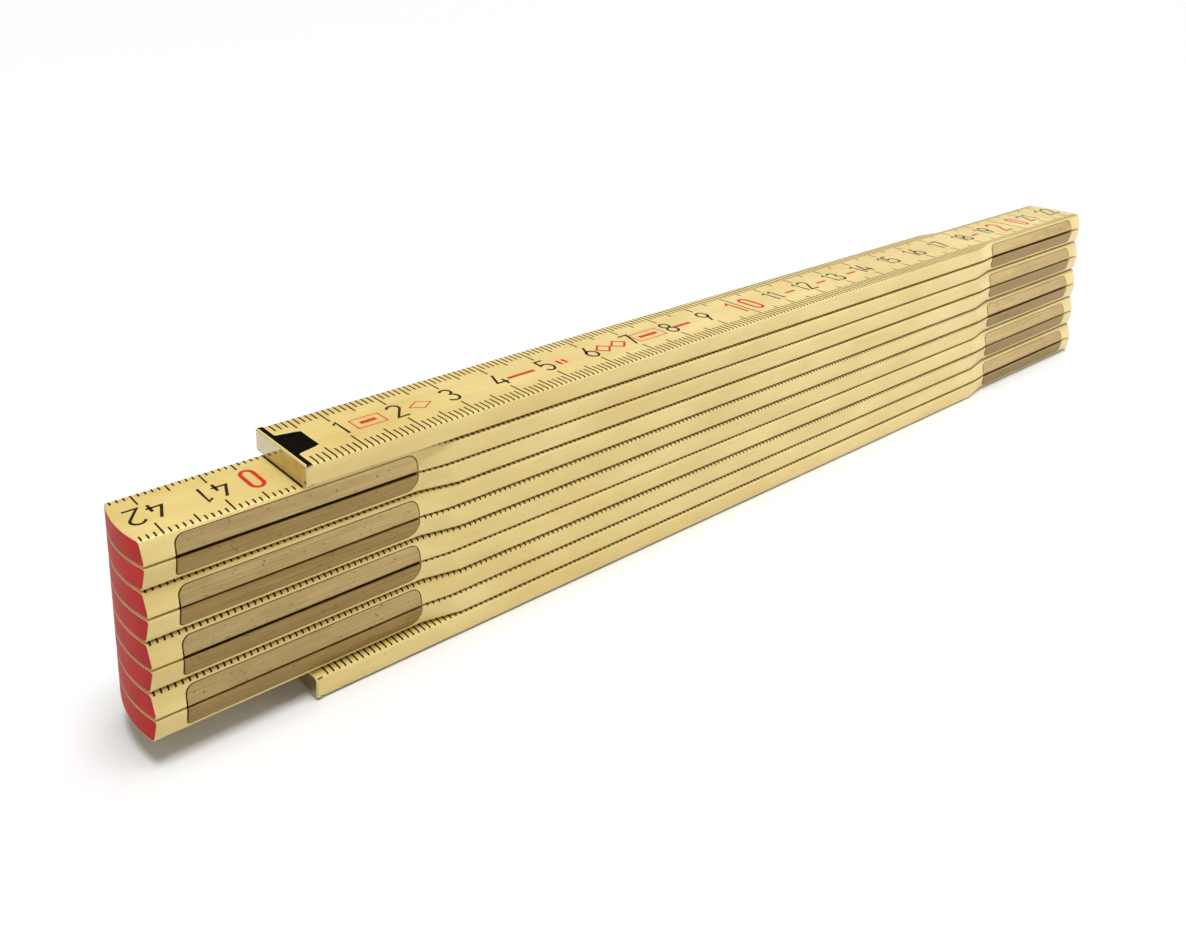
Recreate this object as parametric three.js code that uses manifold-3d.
// Folding rule, 2 m long when open: ten wooden sections joined by nine sprung plate joints, shown folded.
// Millimetres. X runs along the sections, Y across them, Z up the folded stack.
// The origin is at the middle of the stack's footprint, on the surface that the rule lies on.
// The joints turn about vertical axes, in turn at the right end (x = +100) and the left end (x = -100).
import * as THREE from 'three';
import { mergeVertices } from 'three/addons/utils/BufferGeometryUtils.js';
import Module from 'manifold-3d';

const wasm = await Module();
wasm.setup();

// Driving dimensions
const SECTION_COUNT = 10;
const PIVOT_SPACING = 200; // one section's share of the 2 m scale
const SLAT_WIDTH = 16;
const SLAT_THICKNESS = 3.3;
const SLAT_GAP = 0.4; // between folded sections
const END_RADIUS = 24.4; // arc end of a slat, about its pivot
const CLEARANCE = 0.3; // between neighbouring pieces

// Dovetailed seat that the plates grip: a little inset at the joint face, narrower at the printed face
const SEAT_INSET = 0.3; // taken off each side at the joint face
const TAPER_DEPTH = 0.9; // taken off each side as well at the printed face
const RUN_OUT_START = 22; // distance from the pivot where the seat starts to run out
const RUN_OUT_END = 26.6;

// Joint plates
const PLATE_HALF_LENGTH = 18.8;
const PLATE_THICKNESS = 0.5;
const FLANGE_HEIGHT = SLAT_THICKNESS - 0.65;
const FLANGE_CORNER_RADIUS = 1.8;
const BEND_RADIUS = 0.9;
const DETENT_COUNT = 4; // one every quarter turn
const DETENT_CIRCLE_RADIUS = 5.6;
const DIMPLE_RADIUS = 0.9;
const DIMPLE_TIP_RADIUS = 0.5;
const DIMPLE_HEIGHT = 0.2;
const DETENT_HOLE_RADIUS = 1.2;

// Rivet and spring washer, in blind pockets under the plates
const RIVET_RADIUS = 1.5;
const RIVET_HEAD_RADIUS = 3.4;
const RIVET_HEAD_THICKNESS = 0.6;
const WASHER_HOLE_RADIUS = 1.9;
const WASHER_RADIUS = 4;
const WASHER_THICKNESS = 0.25;
const WASHER_CONE_HEIGHT = 0.1;
const POCKET_RADIUS = 4.5;

// End caps, bent from sheet over the square ends of the first and last sections
const CAP_THICKNESS = 0.5;
const CAP_LIP_THICKNESS = 0.4;
const CAP_LIP_LENGTH = 1.2;
const CAP_TAB_LENGTH = 5;
const CAP_TAB_ROOT_WIDTH = 7.8;
const CAP_TAB_TIP_WIDTH = 6.2;

// Fineness of round shapes
const ARC_SEGMENTS = 6;
const CORNER_SEGMENTS = 3;
const TURNED_SEGMENTS = 12;
const DETENT_SEGMENTS = 6;

// Worked out from the driving dimensions
const PITCH = SLAT_THICKNESS + SLAT_GAP;
const PIVOT_X = PIVOT_SPACING / 2;
const HALF_WIDTH = SLAT_WIDTH / 2;
const TAPER_SLOPE = TAPER_DEPTH / SLAT_THICKNESS;
const SEAT_DEPTH = PLATE_THICKNESS + CLEARANCE;
const WASHER_BOTTOM = PLATE_THICKNESS + CLEARANCE;
const WASHER_TOP = WASHER_BOTTOM + WASHER_THICKNESS + WASHER_CONE_HEIGHT;
const UPPER_HEAD_BOTTOM = WASHER_TOP + CLEARANCE;
const UPPER_HEAD_TOP = UPPER_HEAD_BOTTOM + RIVET_HEAD_THICKNESS;
const LOWER_HEAD_TOP = PLATE_THICKNESS + CLEARANCE; // measured down from the lower slat's joint face
const LOWER_HEAD_BOTTOM = LOWER_HEAD_TOP + RIVET_HEAD_THICKNESS;
const OVERSIZE = 1; // how far a cutting tool stands out of what it cuts

const materials = {
  lacqueredWood: () => new THREE.MeshStandardMaterial({ color: 0xeed98f, roughness: 0.45, metalness: 0 }),
  brassPlatedSteel: () => new THREE.MeshStandardMaterial({ color: 0xb9a368, roughness: 0.35, metalness: 1 }),
  polishedBrass: () => new THREE.MeshStandardMaterial({ color: 0xcaa64e, roughness: 0.15, metalness: 1 }),
  steel: () => new THREE.MeshStandardMaterial({ color: 0x9a9a98, roughness: 0.35, metalness: 1 }),
  springSteel: () => new THREE.MeshStandardMaterial({ color: 0x7f8386, roughness: 0.3, metalness: 1 }),
};

// Exact quarter turns: from Y up to Z up, and from an outline in X and Y to one in Y and Z.
const STAND_UP = new THREE.Matrix4().set(1, 0, 0, 0, 0, 0, -1, 0, 0, 1, 0, 0, 0, 0, 0, 1);
const FACE_X = new THREE.Matrix4().set(0, 0, 1, 0, 1, 0, 0, 0, 0, 1, 0, 0, 0, 0, 0, 1);

// A closed geometry as a solid that can be joined and cut.
function solid(geometry) {
  const bare = geometry.clone();
  bare.deleteAttribute('normal');
  bare.deleteAttribute('uv');
  const merged = mergeVertices(bare, 1e-4);
  const mesh = new wasm.Mesh({
    numProp: 3,
    vertProperties: new Float32Array(merged.attributes.position.array),
    triVerts: new Uint32Array(merged.index.array),
  });
  return new wasm.Manifold(mesh);
}

function geometryOf(body) {
  const { vertProperties, triVerts } = body.getMesh();
  const geometry = new THREE.BufferGeometry();
  geometry.setAttribute('position', new THREE.BufferAttribute(new Float32Array(vertProperties), 3));
  geometry.setIndex(new THREE.BufferAttribute(new Uint32Array(triVerts), 1));
  geometry.computeVertexNormals();
  return geometry;
}

function upright(radius, bottom, top, segments, topRadius = radius) {
  const geometry = new THREE.CylinderGeometry(topRadius, radius, top - bottom, segments);
  geometry.applyMatrix4(STAND_UP);
  geometry.translate(0, 0, (top + bottom) / 2);
  return geometry;
}

// An outline drawn in X and Y, raised from bottom to top.
function raised(shape, bottom, top, curveSegments = ARC_SEGMENTS) {
  const geometry = new THREE.ExtrudeGeometry(shape, { depth: top - bottom, bevelEnabled: false, curveSegments });
  geometry.translate(0, 0, bottom);
  return geometry;
}

// An outline drawn in Y and Z, drawn out along X.
function alongX(shape, start, end) {
  return raised(shape, start, end, CORNER_SEGMENTS).applyMatrix4(FACE_X);
}

// An outline drawn in X and Z, drawn out along Y to both sides.
function alongY(shape, halfWidth) {
  return raised(shape, -halfWidth, halfWidth, CORNER_SEGMENTS).applyMatrix4(STAND_UP);
}

function polygon(points) {
  return new THREE.Shape(points.map(([x, y]) => new THREE.Vector2(x, y)));
}

// Half width of the dovetailed seat at a height above the joint face.
function seatHalfWidth(height) {
  return HALF_WIDTH - SEAT_INSET - TAPER_SLOPE * height;
}

// Joint end frame: origin on the pivot at the joint face, +X to the middle of the slat, +Z into the wood.

// Wood taken off one side to make the dovetail, with its slanting run-out. It leans with the side of the seat.
function taperTool() {
  const narrow = seatHalfWidth(SLAT_THICKNESS);
  const reach = END_RADIUS + OVERSIZE;
  const slope = (HALF_WIDTH - narrow) / (RUN_OUT_END - RUN_OUT_START);
  const outside = HALF_WIDTH + OVERSIZE;
  const runOutOutside = RUN_OUT_START + (outside - narrow) / slope;
  const plan = polygon([[-reach, narrow], [RUN_OUT_START, narrow], [runOutOutside, outside], [-reach, outside]]);
  const geometry = raised(plan, -OVERSIZE, SLAT_THICKNESS + OVERSIZE);
  const lean = new THREE.Matrix4().set(
    1, 0, 0, 0,
    0, 1, -TAPER_SLOPE, TAPER_SLOPE * SLAT_THICKNESS,
    0, 0, 1, 0,
    0, 0, 0, 1,
  );
  return solid(geometry.applyMatrix4(lean));
}

// The side view of a plate's flange, with rounded corners at its free edge.
function flangeSideView(halfLength, height, radius, floor) {
  const shape = new THREE.Shape();
  shape.moveTo(-halfLength, floor);
  shape.lineTo(halfLength, floor);
  shape.lineTo(halfLength, height - radius);
  shape.absarc(halfLength - radius, height - radius, radius, 0, Math.PI / 2);
  shape.absarc(-halfLength + radius, height - radius, radius, Math.PI / 2, Math.PI);
  return shape;
}

// What the seat leaves free for a plate: the plate's outer form with clearance, less the core that it grips.
function seatTool() {
  const sideView = flangeSideView(
    PLATE_HALF_LENGTH + CLEARANCE,
    FLANGE_HEIGHT + CLEARANCE,
    FLANGE_CORNER_RADIUS + CLEARANCE,
    -OVERSIZE,
  );
  const room = solid(alongY(sideView, HALF_WIDTH + OVERSIZE));
  const coreTop = SLAT_THICKNESS + OVERSIZE;
  const core = polygon([
    [-seatHalfWidth(SEAT_DEPTH) + SEAT_DEPTH, SEAT_DEPTH],
    [seatHalfWidth(SEAT_DEPTH) - SEAT_DEPTH, SEAT_DEPTH],
    [seatHalfWidth(coreTop) - SEAT_DEPTH, coreTop],
    [-seatHalfWidth(coreTop) + SEAT_DEPTH, coreTop],
  ]);
  const coreHalfLength = PLATE_HALF_LENGTH + CLEARANCE + OVERSIZE;
  return room.subtract(solid(alongX(core, -coreHalfLength, coreHalfLength)));
}

// Everything taken out of a slat at a joint end.
function jointEndTool(headTop) {
  const taper = taperTool();
  const pocket = solid(upright(POCKET_RADIUS, 0, headTop + CLEARANCE, TURNED_SEGMENTS));
  return taper.add(taper.mirror([0, 1, 0])).add(seatTool()).add(pocket);
}

// Turns a tool from the joint end frame into the slat's own frame, whose origin is at its middle, on its bottom.
function placeAtEnd(tool, end, jointFace) {
  const flip = jointFace === 'top' ? [180, 0, 0] : [0, 0, 0];
  const turn = end === 'right' ? [0, 0, 180] : [0, 0, 0];
  const x = end === 'right' ? PIVOT_X : -PIVOT_X;
  return tool.rotate(flip).rotate(turn).translate([x, 0, jointFace === 'top' ? SLAT_THICKNESS : 0]);
}

// The slat seen from above, with arc ends about the pivots or a square left end at the end of the scale.
function slatOutline(squareLeftEnd) {
  const halfAngle = Math.asin(HALF_WIDTH / END_RADIUS);
  const shape = new THREE.Shape();
  if (squareLeftEnd) {
    shape.moveTo(-PIVOT_X, HALF_WIDTH);
    shape.lineTo(-PIVOT_X, -HALF_WIDTH);
  } else {
    shape.absarc(-PIVOT_X, 0, END_RADIUS, Math.PI - halfAngle, Math.PI + halfAngle);
  }
  shape.absarc(PIVOT_X, 0, END_RADIUS, -halfAngle, halfAngle);
  return shape;
}

// An end cap seen from the side: an end plate with a lip over each face. Its outer face is at x = 0.
function capSideView(lipLength, lipThickness, endThickness) {
  return polygon([
    [0, 0],
    [lipLength, 0],
    [lipLength, lipThickness],
    [endThickness, lipThickness],
    [endThickness, SLAT_THICKNESS - lipThickness],
    [lipLength, SLAT_THICKNESS - lipThickness],
    [lipLength, SLAT_THICKNESS],
    [0, SLAT_THICKNESS],
  ]);
}

// A cap, or with some room the space that it takes. Each lip widens into a tab that narrows towards its tip.
function capSolid(room) {
  const lip = capSideView(CAP_LIP_LENGTH + room, CAP_LIP_THICKNESS + room, CAP_THICKNESS + room);
  const tab = capSideView(CAP_TAB_LENGTH + room, CAP_LIP_THICKNESS + room, CAP_THICKNESS + room);
  const root = CAP_TAB_ROOT_WIDTH / 2 + room;
  const tip = CAP_TAB_TIP_WIDTH / 2 + room;
  const tabPlan = polygon([
    [-OVERSIZE, -root],
    [CAP_LIP_LENGTH, -root],
    [CAP_TAB_LENGTH + room, -tip],
    [CAP_TAB_LENGTH + room, tip],
    [CAP_LIP_LENGTH, root],
    [-OVERSIZE, root],
  ]);
  const tabbed = solid(alongY(tab, root)).intersect(solid(raised(tabPlan, -OVERSIZE, SLAT_THICKNESS + OVERSIZE)));
  return solid(alongY(lip, HALF_WIDTH)).add(tabbed);
}

// Which face of a section carries the joint at each end. Odd joints are at the right end.
function jointFaces(section) {
  const below = section % 2 === 1 ? 'right' : 'left';
  const above = section % 2 === 1 ? 'left' : 'right';
  const faces = {};
  if (section < SECTION_COUNT) faces[below] = 'bottom';
  if (section > 1) faces[above] = 'top';
  return faces;
}

function slatGeometry(section) {
  const faces = jointFaces(section);
  let body = solid(raised(slatOutline(!faces.left), 0, SLAT_THICKNESS));
  for (const [end, face] of Object.entries(faces)) {
    const tool = jointEndTool(face === 'bottom' ? UPPER_HEAD_TOP : LOWER_HEAD_BOTTOM);
    body = body.subtract(placeAtEnd(tool, end, face));
  }
  if (!faces.left) body = body.subtract(capSolid(CLEARANCE).translate([-PIVOT_X, 0, 0]));
  return geometryOf(body);
}

// Cross-section of a joint plate: a base on the joint face and two flanges that lean in over the seat.
function plateSection() {
  const wall = PLATE_THICKNESS;
  const top = SLAT_THICKNESS;
  const base = seatHalfWidth(0);
  const shape = new THREE.Shape();
  shape.moveTo(-base + BEND_RADIUS, 0);
  shape.lineTo(base - BEND_RADIUS, 0);
  shape.quadraticCurveTo(base, 0, seatHalfWidth(BEND_RADIUS), BEND_RADIUS);
  shape.lineTo(seatHalfWidth(top), top);
  shape.lineTo(seatHalfWidth(top) - wall, top);
  shape.lineTo(seatHalfWidth(wall) - wall, wall);
  shape.lineTo(-seatHalfWidth(wall) + wall, wall);
  shape.lineTo(-seatHalfWidth(top) + wall, top);
  shape.lineTo(-seatHalfWidth(top), top);
  shape.lineTo(-seatHalfWidth(BEND_RADIUS), BEND_RADIUS);
  shape.quadraticCurveTo(-base, 0, -base + BEND_RADIUS, 0);
  return shape;
}

// Copies of a solid at the detent places, a quarter turn apart.
function atDetents(body) {
  const copies = Array.from({ length: DETENT_COUNT }, (_, index) => {
    return body.translate([DETENT_CIRCLE_RADIUS, 0, 0]).rotate([0, 0, (360 / DETENT_COUNT) * index]);
  });
  return copies.reduce((joined, copy) => joined.add(copy));
}

// A joint plate in the joint end frame. Upper plates have pressed dimples and lower plates the holes they snap into.
function plateGeometry(detent) {
  const channel = solid(alongX(plateSection(), -PLATE_HALF_LENGTH, PLATE_HALF_LENGTH));
  const sideView = flangeSideView(PLATE_HALF_LENGTH, FLANGE_HEIGHT, FLANGE_CORNER_RADIUS, -OVERSIZE);
  const rivetHole = upright(RIVET_RADIUS + CLEARANCE, -OVERSIZE, OVERSIZE, TURNED_SEGMENTS);
  let body = channel.intersect(solid(alongY(sideView, HALF_WIDTH + OVERSIZE))).subtract(solid(rivetHole));
  if (detent === 'dimples') {
    const dimple = upright(DIMPLE_TIP_RADIUS, -DIMPLE_HEIGHT, PLATE_THICKNESS / 2, DETENT_SEGMENTS, DIMPLE_RADIUS);
    body = body.add(atDetents(solid(dimple)));
  } else {
    const hole = upright(DETENT_HOLE_RADIUS, -OVERSIZE, OVERSIZE, DETENT_SEGMENTS);
    body = body.subtract(atDetents(solid(hole)));
  }
  return geometryOf(body);
}

// A body of revolution about Z, from a closed profile of [radius, height] points.
function turned(profile) {
  const points = profile.map(([radius, height]) => new THREE.Vector2(radius, height));
  return new THREE.LatheGeometry(points, TURNED_SEGMENTS).applyMatrix4(STAND_UP);
}

// Rivet, with z = 0 on the upper slat's joint face.
function rivetGeometry() {
  return geometryOf(solid(turned([
    [0, -SLAT_GAP - LOWER_HEAD_BOTTOM],
    [RIVET_HEAD_RADIUS, -SLAT_GAP - LOWER_HEAD_BOTTOM],
    [RIVET_HEAD_RADIUS, -SLAT_GAP - LOWER_HEAD_TOP],
    [RIVET_RADIUS, -SLAT_GAP - LOWER_HEAD_TOP],
    [RIVET_RADIUS, UPPER_HEAD_BOTTOM],
    [RIVET_HEAD_RADIUS, UPPER_HEAD_BOTTOM],
    [RIVET_HEAD_RADIUS, UPPER_HEAD_TOP],
    [0, UPPER_HEAD_TOP],
  ])));
}

// Conical spring washer between the upper plate and the rivet's head.
function washerGeometry() {
  return geometryOf(solid(turned([
    [WASHER_HOLE_RADIUS, WASHER_BOTTOM + WASHER_CONE_HEIGHT],
    [WASHER_RADIUS, WASHER_BOTTOM],
    [WASHER_RADIUS, WASHER_BOTTOM + WASHER_THICKNESS],
    [WASHER_HOLE_RADIUS, WASHER_TOP],
    [WASHER_HOLE_RADIUS, WASHER_BOTTOM + WASHER_CONE_HEIGHT],
  ])));
}

function named(name, geometry, material) {
  const mesh = new THREE.Mesh(geometry, material());
  mesh.name = name;
  return mesh;
}

// Height of a section's bottom face in the folded stack. Section 1 is on top.
function sectionLevel(section) {
  return (SECTION_COUNT - section) * PITCH;
}

const rule = new THREE.Group();
const sections = [];

for (let section = 1; section <= SECTION_COUNT; section += 1) {
  const group = new THREE.Group();
  group.position.z = sectionLevel(section);
  const label = String(section).padStart(2, '0');
  group.add(named(`slat_${label}`, slatGeometry(section), materials.lacqueredWood));
  if (section === 1 || section === SECTION_COUNT) {
    const cap = named(`end_cap_${label}`, geometryOf(capSolid(0)), materials.polishedBrass);
    cap.position.x = -PIVOT_X;
    group.add(cap);
  }
  rule.add(group);
  sections[section] = group;
}

for (let upper = 1; upper < SECTION_COUNT; upper += 1) {
  const lower = upper + 1;
  const x = upper % 2 === 1 ? PIVOT_X : -PIVOT_X;
  const label = `joint_${upper}_${lower}`;

  const upperPlate = named(`${label}_upper_plate`, plateGeometry('dimples'), materials.brassPlatedSteel);
  const washer = named(`${label}_spring_washer`, washerGeometry(), materials.springSteel);
  upperPlate.position.set(x, 0, 0);
  washer.position.set(x, 0, 0);
  sections[upper].add(upperPlate, washer);

  const lowerPlate = named(`${label}_lower_plate`, plateGeometry('holes'), materials.brassPlatedSteel);
  lowerPlate.position.set(x, 0, SLAT_THICKNESS);
  lowerPlate.rotation.x = Math.PI;
  const rivet = named(`${label}_rivet`, rivetGeometry(), materials.steel);
  rivet.position.set(x, 0, PITCH);
  sections[lower].add(lowerPlate, rivet);
}

export default rule;
